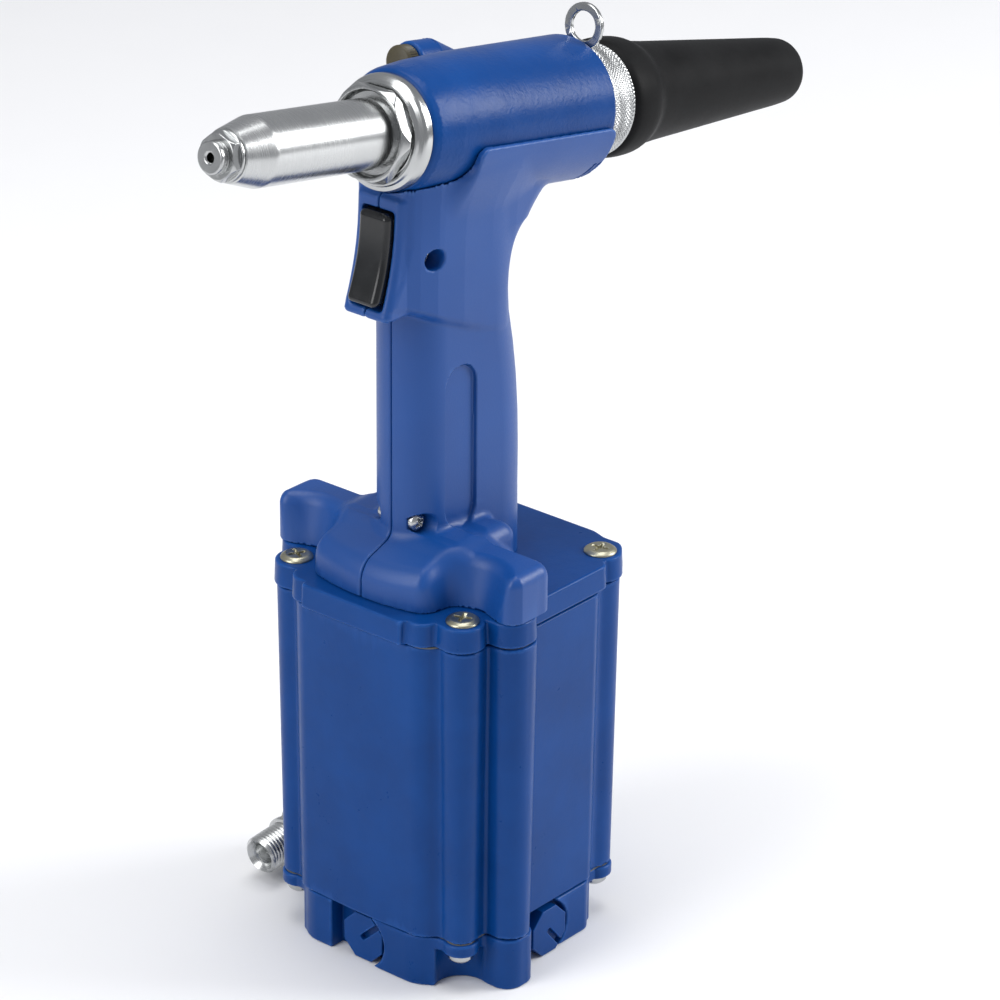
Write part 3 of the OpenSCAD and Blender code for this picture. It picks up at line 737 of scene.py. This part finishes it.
REAR_Z = [120, 128, 135, 150, 162, 175, 187, 198, 209, 222, 240]
REAR_X = [23.5, 23.5, 23.4, 23.2, 23.2, 22.9, 22.0, 20.5, 18.4, 17.6, 17.4]
PIN_HOLE_R = 1.55
# x, z and the distance of the head's seat from the parting plane
COVER_SCREWS = ((-23.6, 149.2, 5.4), (-23.0, 236.4, 6.4))
# Opposite corners of the covers' hollows for the air tube and for the valve
TUBE_SLOT = (-17.9, -5.2, 127), (-5.9, 5.2, 224.1)
VALVE_SLOT = (-32.2, -5.4, 223.4), (-6.2, 5.4, 234.6)


def trigger_axis(x, z):
    """Distance from the trigger's pin."""
    return np.hypot(x + 30.5, z - 249)


def skirt(x, y, z):
    ya = np.abs(y)
    top = np.clip(139 + 0.36 * (x + 42.4), 139, 146)
    front = rect(x - 4.0 * (ya / 24.7) ** 2, ya, -42.3, 0, -25.2, 25.2, 6)
    arm = rect(x, ya, -28.2, -9.2, -30, 49.3, 5)
    wedge = np.maximum(np.maximum(0.66 * (x + 7) + 0.75 * (ya - 33.5), x - 14), -20 - x)
    lift = 143.9 - 0.78 * np.maximum(x + 12, 0)
    arm = meet(np.maximum(join(arm, wedge, 6), ya - 49.4), (z - lift) * 0.9, 3.6)
    d = join(meet(front, (z - top) * 0.94, 5), arm, 3)
    u, v = x + 34, ya - 34
    scoop = (np.hypot(u, v) - 8.2 - 0.30 * (z - 128)) * 0.95
    d = cut(d, scoop, 3.2)
    return np.maximum(d, PLATE_TOP - z)


def saddle(t, down, side):
    """The trough of the covers that holds the rear of the barrel."""
    r = np.hypot(down - 0.6, side) - 22.9
    ends = rect(t, down, -11.8, 51.9, 2.4, 60, 3.5)
    return meet(r, ends, 0.8)


def upper_body(x, y, z):
    """The wide part of the grip between the trigger and the arc behind it."""
    ya = np.abs(y)
    half = np.interp(x, [-40, -32, -28, -22, -12, 0, 12, 30],
                     [8.8, 9.9, 11.7, 13.6, 14.9, 15.2, 14.6, 12.6])
    half = half + 0.05 * np.clip(z - 232, 0, 30) * np.clip((x + 32) / 12, 0, 1)
    like_grip = np.sqrt(np.maximum(14.9 ** 2 - np.maximum(x - 2.6, 0) ** 2, 0))
    half = np.where(x > -4, like_grip + (half - like_grip) * np.clip((z - 214) / 24, 0, 1), half)
    side = (ya - half) * 0.97
    underside = np.interp(x, [-40, -30.9, -18.5, -8.1, 4, 20], [223.2, 220.4, 214.9, 210.4, 206, 203])
    low = (underside - z) * 0.92
    front = -(x - np.interp(z, [222.8, 231.5, 241.7, 257.5], [-39.0, -34.6, -32.4, -32.0])) * 0.9
    body = meet(meet(side, np.maximum(low, front), 2.4), z - 262, 2)
    arc = 32 - np.hypot(x - 47.45, z - 215)
    rear = np.where(z > 215, arc, x - 15.45)
    return meet(body, np.maximum(rear, x - 48), 8)


def trigger_box(x, y, z):
    ya = np.abs(y)
    hollow = 1.7 * np.sin(math.pi * np.clip((z - 221) / 35, 0, 1))
    face = -(x + 33.7 + 0.188 * (255.5 - z) - hollow) * 0.98
    d = meet(ya - 9.1, np.maximum(face, x + 20), 2.4)
    return meet(d, slab(z, 219.6, 256.8), 1.5)


def cover_outside(x, y, z):
    t, down, side = barrel(x, y, z)
    rear = np.interp(z, REAR_Z, REAR_X)
    rb = np.interp(z, [120, 165, 209, 260], [15.4, 15.4, 14.9, 14.9])
    grip = egg(x, y, -15.4, rear - rb, 12.9, rb)
    grip = meet(grip, slab(z, 120, 246), 1)
    body = join(grip, upper_body(x, y, z), 1.6)
    body = join(body, trigger_box(x, y, z), 0.9)
    body = join(body, saddle(t, down, side), np.interp(t, [8, 24], [7, 1.5]))
    top_edge = np.where(t > -12, 2.4 - down, -1e3)
    body = np.maximum(body, top_edge)
    return join(body, skirt(x, y, z), 2.4)


def stadium(x, z):
    return np.hypot(x + 11, z - np.clip(z, 151.6, 192.4)) - 6.3


def cover(side_sign):
    def f(x, y, z):
        d = cover_outside(x, y, z)
        if side_sign < 0:
            mark = stadium(x, z)
            d = cut(d, np.maximum(np.maximum(mark, -1.5 - d), y), 0.3)
        t, down, side = barrel(x, y, z)
        r = np.hypot(down, side)
        for p, q, seat in COVER_SCREWS:
            hole = np.hypot(x - p, z - q)
            d = cut(d, np.maximum(hole - 3.4, seat - np.abs(y)), 0.5)
            d = np.maximum(d, 1.6 - hole)
        lines = np.minimum(np.abs(t - 48.1), np.abs(t - 50.2)) - 0.35
        lines = np.maximum(lines, np.maximum(22.0 - np.hypot(down - 0.6, side), 14 - down))
        d = cut(d, lines, 0.2)
        seam = 0.12 - y * side_sign
        d = meet(d, seam, 0.7)
        pad = block(x, y, z, (-46, -6.3, 222.6), (-27.3, 6.3, 252.6), 1.2)
        d = cut(d, pad, 0.6)
        inner = np.hypot(x, y) - 10.7
        d = np.maximum(d, -np.minimum(inner, 40))
        for lo, hi in TUBE_SLOT, VALVE_SLOT:
            d = np.maximum(d, -block(x, y, z, lo, hi))
        d = np.maximum(d, -np.maximum(foot_plan(x, y, 0.6), slab(z, 127, 134.3)))
        d = np.maximum(d, -np.maximum(at_bolts(x, y) - 3, slab(z, 127, 136.5)))
        pin = trigger_axis(x, z) - PIN_HOLE_R
        d = np.maximum(d, -np.maximum(pin, np.abs(y) - 7.4))
        d = cut(d, np.maximum(r - head_r(t) - 0.25, slab(t, -29.4, 80)), 0.3)
        d = cut(d, np.maximum(r - 18.25, slab(t, -60, -20)), 0.3)
        return meet(d, t - 51.9, 0.9)
    return f


place(shape("right_cover_shell", cover(-1), (-46, -51, 126), (55, 1, 272), 0.7, 0.3),
      "housing", "blue_nylon", "right_cover")
place(shape("left_cover_shell", cover(1), (-46, -1, 126), (55, 51, 272), 0.7, 0.3),
      "housing", "blue_nylon", "left_cover")


def cover_screw(cx, cz, seat, sign, degrees):
    def f(x, y, z):
        u, v, h = x - cx, z - cz, y * sign - seat
        r = np.hypot(u, v)
        dome = np.maximum(np.hypot(r, h + 1.4) - 4.1, meet(r - 3.0, slab(h, 0, 4), 0.1))
        a, b = turned_about(u, v, degrees)
        dome = cut(dome, cross_slot(a, b, 2.2 - h, 1.4, 0.42, 1.9), 0.1)
        return np.minimum(dome, np.maximum(r - 1.5, slab(h, -seat, 0.1)))
    return f


screws = []
for (cx, cz, seat), degrees in zip(COVER_SCREWS, (30, 12)):
    for sign in (-1, 1):
        f = cover_screw(cx, cz, seat, sign, degrees)
        near, far = (-0.6, 10) if sign > 0 else (-10, 0.6)
        screws.append(shape("s", f, (cx - 4, near, cz - 4), (cx + 4, far, cz + 4), 0.2, 0.5))
obj = merged("cover_cross_screws", screws)
sharpen(obj, 35)
place(obj, "housing", "turned_steel", "cover_screws")


def trigger(x, y, z):
    """The pad's face is a little hollow from top to bottom."""
    u = np.clip((z - 224) / 28, 0, 1)
    face = -42.5 + 6.4 * u + 1.6 * np.sin(math.pi * u)
    pad = meet(np.abs(y) - 5.9, (face - x) * 0.97, 1.9)
    pad = meet(pad, np.maximum(slab(z, 224.2, 251.9), x + 32.0), 1.9)
    hub = np.maximum(trigger_axis(x, z) - 3, np.abs(y) - 3.5)
    arm = block(x, y, z, (-35, -3.5, 246), (-31, 3.5, 252), 0.3)
    d = np.minimum(np.minimum(pad, hub), arm)
    return np.maximum(d, PIN_HOLE_R - trigger_axis(x, z))


place(shape("trigger_pad", trigger, (-46, -7, 220), (-26, 7, 256), 0.35, 0.35),
      "trigger", "black_gloss", "trigger")

# ---------------------------------------------------------------- turned pieces on the barrel


def rings(t, depth, pitch):
    return depth * np.sin(t * 2 * math.pi / pitch)


nose = fine([(-98.9, 5.0), (-98.9, 7.7), (-98.6, 8.05), (-89.0, 10.5), (-88.4, 10.6), (-39.6, 10.6),
             (-39.3, 10.3), (-39.3, 9.7), (-37.1, 9.7), (-37.1, 12.3), (-36.6, 12.9), (-12.5, 12.9),
             (-12.5, 8.6), (-85.5, 8.6), (-85.5, 5.0)], 0.8)
nose = [(t, r) for t, r in nose if not (-37.0 < t < -12.6 and r > 12.35)]
k = next(i for i, (t, r) in enumerate(nose) if r > 12.2)
thread = [(-37.0 + 0.1 * i, 12.9 - 0.75 * abs(((i * 0.1 / 1.25) % 1) - 0.5) * 1.6) for i in range(60)]
nose[k + 1:k + 1] = thread + [(-30.9, 12.9), (-12.7, 12.9)]
obj = revolve("nose_housing_turned", nose, 160)
sharpen(obj, 25)
place(obj, "housing", "turned_steel", "nose_housing")


def nosepiece(x, y, z):
    t, down, side = barrel(x, y, z)
    r = np.hypot(down, side)
    d = meet(r - 4.85, slab(t, -105.75, -102.0), 0.5)
    hexa = meet(hexagon(down, side, 6.5, math.radians(18)), slab(t, -102.9, -99.9), 0.12)
    hexa = meet(hexa, (r - 6.7) * 0.80 - (t + 102.9) * 0.6, 0.15)
    for groove in (-103.3, -104.1):
        d = cut(d, np.maximum(np.abs(t - groove) - 0.14, 4.6 - r), 0.08)
    washer = meet(r - 7.6, slab(t, -100.0, -98.9), 0.35)
    d = np.minimum(np.minimum(d, hexa), washer)
    d = np.minimum(d, np.maximum(r - 4.95, slab(t, -99.2, -85.7)))
    bore = np.minimum(r - 1.4, (r - 1.9) * 0.7 + (t + 105.8) * 0.7)
    return cut(d, bore, 0.12)


place(shape("nosepiece_turned", nosepiece, (-107, -9, 275), (-82, 9, 299), 0.22, 0.35),
      "housing", "polished_steel", "nosepiece")


def lock_nut(x, y, z):
    t, down, side = barrel(x, y, z)
    r = np.hypot(down, side)
    d = meet(hexagon(down, side, 13.85), slab(t, -39.8, -35.9), 0.2)
    d = meet(d, (r - 14.2) * 0.86 - (t + 39.8) * 0.5, 0.25)
    d = meet(d, (r - 15.0) * 0.86 + (t + 36.3) * 0.5, 0.2)
    return cut(d, r - 12.97, 0.3)


place(shape("lock_nut_hex", lock_nut, (-46, -18, 258), (-30, 18, 296), 0.35, 0.4),
      "housing", "polished_steel", "lock_nut")

flange = [(-35.0, 14.3), (-35.0, 15.1), (-34.7, 15.5), (-33.9, 15.9), (-33.6, 16.5), (-33.3, 17.1),
          (-32.6, 17.45), (-31.9, 17.6), (-29.9, 17.6), (-29.6, 17.4), (-29.6, 12.97), (-33.8, 12.97),
          (-34.0, 13.3), (-33.6, 14.0)]
obj = revolve("front_flange_ring", fine(flange, 0.5), 160,
              place_at=lambda t, down, side: from_barrel(t, down + 0.4, side))
sharpen(obj, 25)
place(obj, "housing", "polished_steel", "front_flange")


def knurl(t0, t1, depth, count, lead, edge=0.8):
    """Crossed ridges between t0 and t1 on the outermost radius."""
    def bump(t, r, a):
        on = np.clip(np.minimum(t - t0, t1 - t) / edge, 0, 1) * (r > r.max() - 0.3)
        u, v = (a * count / (2 * math.pi) + t / lead), (a * count / (2 * math.pi) - t / lead)
        tri = lambda q: np.abs((q % 1) - 0.5) * 2
        return -depth * on * np.maximum(tri(u), tri(v))
    return bump


cap = [(43.0, 8.5), (43.0, 15.5), (43.4, 15.9), (53.7, 15.9), (53.7, 17.4), (54.2, 17.9)]
cap += [(54.2 + 0.2 * i, 17.9) for i in range(1, 56)]
cap += [(65.4, 17.9), (65.8, 17.5), (65.8, 15.2), (70.5, 15.2), (70.8, 14.9), (70.8, 12.5), (61.8, 12.5),
        (61.8, 2.75), (46.0, 2.75), (46.0, 8.5)]
obj = revolve("rear_cap_knurled", cap, 720, knurl(54.2, 65.4, 0.5, 90, 1.25))
sharpen(obj, 40)
place(obj, "housing", "turned_steel", "rear_cap")


def hanger(x, y, z):
    t, down, side = barrel(x, y, z)
    washer = np.hypot(down, side) - 18.55
    eye = np.hypot(down + 25.2, side + 4.1)
    flat = join(washer, eye - 7.25, 2.5)
    flat = np.maximum(flat, 16.05 - np.hypot(down, side))
    flat = np.maximum(flat, 4.6 - eye)
    return meet(flat, slab(t, 52.1, 53.6), 0.35)


place(shape("hanger_plate", hanger, (38, -20, 238), (60, 20, 297.5), 0.4, 0.35),
      "hanger", "polished_steel", "hanger")

case_t = [66.0, 66.8, 68.5, 72.0, 76.0, 78.5, 80.5, 82.5, 92.0,
          105.0, 125.0, 145.0, 158.0, 163.3, 164.8, 165.8, 166.3, 166.5]
case_r = [17.4, 18.2, 18.7, 18.88, 18.7, 18.3, 17.3, 16.6, 15.7,
          14.8, 13.4, 12.0, 11.1, 10.5, 9.8, 8.9, 8.0, 7.2]
ts = np.linspace(66, 166.5, 160)
smooth = np.interp(ts, case_t, case_r)
for _ in range(3):
    smooth[1:-1] = (smooth[:-2] + 2 * smooth[1:-1] + smooth[2:]) / 4
case = list(zip(ts, np.minimum(smooth, 18.88)))
case += [(166.5, 3.5), (166.3, 0.0), (162.5, 0.0), (162.5, 7.7), (92.0, 12.9), (72.0, 15.25),
         (66.0, 15.25)]
obj = revolve("mandrel_case_rubber", case, 128)
sharpen(obj, 50)
place(obj, "mandrel_case", "black_rubber", "mandrel_case")


def at_knob(t, down, side):
    return from_barrel(t, down - KNOB_UP, side + KNOB_SIDE)


knob = [(1.4, 0.0), (1.4, 4.2), (1.6, 4.6), (2.1, 5.0), (2.3, 5.2)]
knob += [(2.3 + 0.2 * i, 5.2) for i in range(1, 18)] + [(6.0, 4.9), (6.1, 2.95), (16.4, 2.95), (16.4, 0.0)]


def knob_ribs(t, r, a):
    on = np.clip(np.minimum(t - 2.2, 5.9 - t) / 0.4, 0, 1) * (r > 5.05)
    return -0.32 * on * np.abs(((a * 40 / (2 * math.pi)) % 1) - 0.5) * 2


obj = revolve("vacuum_knob_ribbed", knob, 320, knob_ribs, at_knob)
sharpen(obj, 35)
place(obj, "vacuum_knob", "olive_plastic", "vacuum_knob")


def helix(t0, t1, r, turns, origin=from_barrel, steps=28):
    """Open coil with one close turn at each end."""
    n = int(turns * steps)
    u = np.linspace(0, 1, n)
    a = u * turns * 2 * math.pi
    ends = 0.9 / turns
    s = np.interp(u, [0, ends, 1 - ends, 1], [0, ends * 0.45, 1 - ends * 0.45, 1])
    t = t0 + (t1 - t0) * s
    return origin(t, r * np.cos(a), r * np.sin(a))


obj = sweep("return_spring_wire", helix(11.1, 42.0, 11.5, 6), 1.0)
place(obj, "housing", "turned_steel", "return_spring")
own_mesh(obj)
obj = sweep("jaw_spring_wire", helix(-67.9, -55.4, 5.0, 7), 0.45)
place(obj, "pull_piston", "turned_steel", "jaw_spring")
valve_wire = helix(-19.5, -13.5, 2.6, 5, lambda t, a, b: np.stack([t, a, VALVE_Z + b], -1))
obj = sweep("valve_spring_wire", valve_wire, 0.3, 8)
place(obj, "housing", "turned_steel", "valve_spring")
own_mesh(obj)

# ---------------------------------------------------------------- air inlet

INLET = (-2.0, 58.0, 12.2)
DIP = math.radians(5)


def along_inlet(s, a, b):
    """s runs out along the hose thread, a up, b towards +Y."""
    return np.stack([INLET[0] - s * math.cos(DIP) - a * math.sin(DIP), INLET[1] + b,
                     INLET[2] - s * math.sin(DIP) + a * math.cos(DIP)], -1)


def inlet_swivel(x, y, z):
    u, v, w = x - INLET[0], z - INLET[2], y - INLET[1]
    r = np.hypot(u, v)
    d = meet(r - 11.3, slab(w, -6.9, 5.3), 1.3)
    groove = np.hypot(r - 11.3, w + 0.8) - 0.5
    d = cut(d, groove, 0.2)
    s = -u * math.cos(DIP) - v * math.sin(DIP)
    a = -u * math.sin(DIP) + v * math.cos(DIP)
    d = np.maximum(d, 5.56 - r)
    return np.maximum(d, -np.maximum(np.hypot(a, w) - 4.5, -s))


place(shape("inlet_swivel_turned", inlet_swivel, (-15, 50, -1), (11, 64.5, 25.5), 0.3, 0.4),
      "inlet_swivel", "turned_steel", "inlet_swivel")

nip_t = [7.2, 11.4, 11.6, 11.9, 13.4, 13.7]
nip_r = [4.45, 4.45, 7.2, 7.6, 7.6, 7.2]
thread_t = np.arange(14.0, 25.01, 0.11)
nip = list(zip(nip_t, nip_r)) + [(13.9, 5.7)] + [(t, 6.5) for t in thread_t] + [(25.6, 5.8), (26.0, 5.4)]
nip += [(25.0, 4.4), (23.6, 3.2), (7.2, 3.2)]


def hose_thread(t, r, a):
    on = np.clip(np.minimum(t - 13.95, 25.3 - t) / 0.8, 0, 1) * (np.abs(r - 6.5) < 0.05)
    q = np.abs(((t / 1.337 - a / (2 * math.pi)) % 1) - 0.5) * 2
    return -0.80 * on * np.clip(q * 1.25 - 0.12, 0, 1)


obj = revolve("inlet_nipple_threaded", nip, 96, hose_thread, along_inlet)
sharpen(obj, 50)
place(obj, "inlet_swivel", "turned_steel", "inlet_nipple")

# ---------------------------------------------------------------- floor, light and camera


def floor():
    p = np.array([[-6000, -6000, 0], [6000, -6000, 0], [6000, 6000, 0], [-6000, 6000, 0]], float)
    obj = mesh_object("floor", p, np.array([[0, 1, 2, 3]]))
    n = Nodes("pale_floor")
    tint = n.mix(n.span(n.noise(2, 3), 0.3, 0.7, 0, 1), (0.84, 0.84, 0.85), (0.86, 0.86, 0.865))
    obj.data.materials.append(n.finish(tint, n.span(n.noise(40, 3), 0.3, 0.7, 0.75, 0.85)))


def softbox(name, at, aim, size, watts):
    light = bpy.data.lights.new(name, "AREA")
    light.shape = "RECTANGLE"
    light.size, light.size_y = size
    light.energy = watts
    obj = bpy.data.objects.new(name, light)
    obj.location = at
    obj.rotation_euler = (Vector(aim) - Vector(at)).to_track_quat("-Z", "Y").to_euler()
    bpy.context.collection.objects.link(obj)


floor()
world = bpy.data.worlds.new("studio")
world.use_nodes = True
world.node_tree.nodes["Background"].inputs["Color"].default_value = (0.93, 0.95, 1.0, 1)
world.node_tree.nodes["Background"].inputs["Strength"].default_value = 0.42
bpy.context.scene.world = world
softbox("key", (-1.2, 0.3, 0.9), (0, 0, 0.15), (0.8, 1.2), 12)
softbox("side", (1.15, -1.1, 0.95), (0, 0, 0.18), (0.8, 0.9), 24)
softbox("top", (0.1, 0.1, 1.9), (0, 0, 0.1), (1.2, 1.2), 18)

cam = bpy.data.cameras.new("camera")
cam.lens, cam.sensor_width = 157.4, 36
cam.clip_start, cam.clip_end = 0.05, 50
obj = bpy.data.objects.new("camera", cam)
right = Vector((0.64706, -0.76239, 0.00892))
up = Vector((0.31538, 0.27829, 0.90724))
ahead = Vector((0.69415, 0.58422, -0.42051))
turn = Matrix((right, up, -ahead)).transposed().to_4x4()
obj.matrix_world = Matrix.Translation((-0.93098, -0.80322, 0.71622)) @ turn
bpy.context.collection.objects.link(obj)
bpy.context.scene.camera = obj
bpy.context.scene.view_settings.view_transform = "Standard"
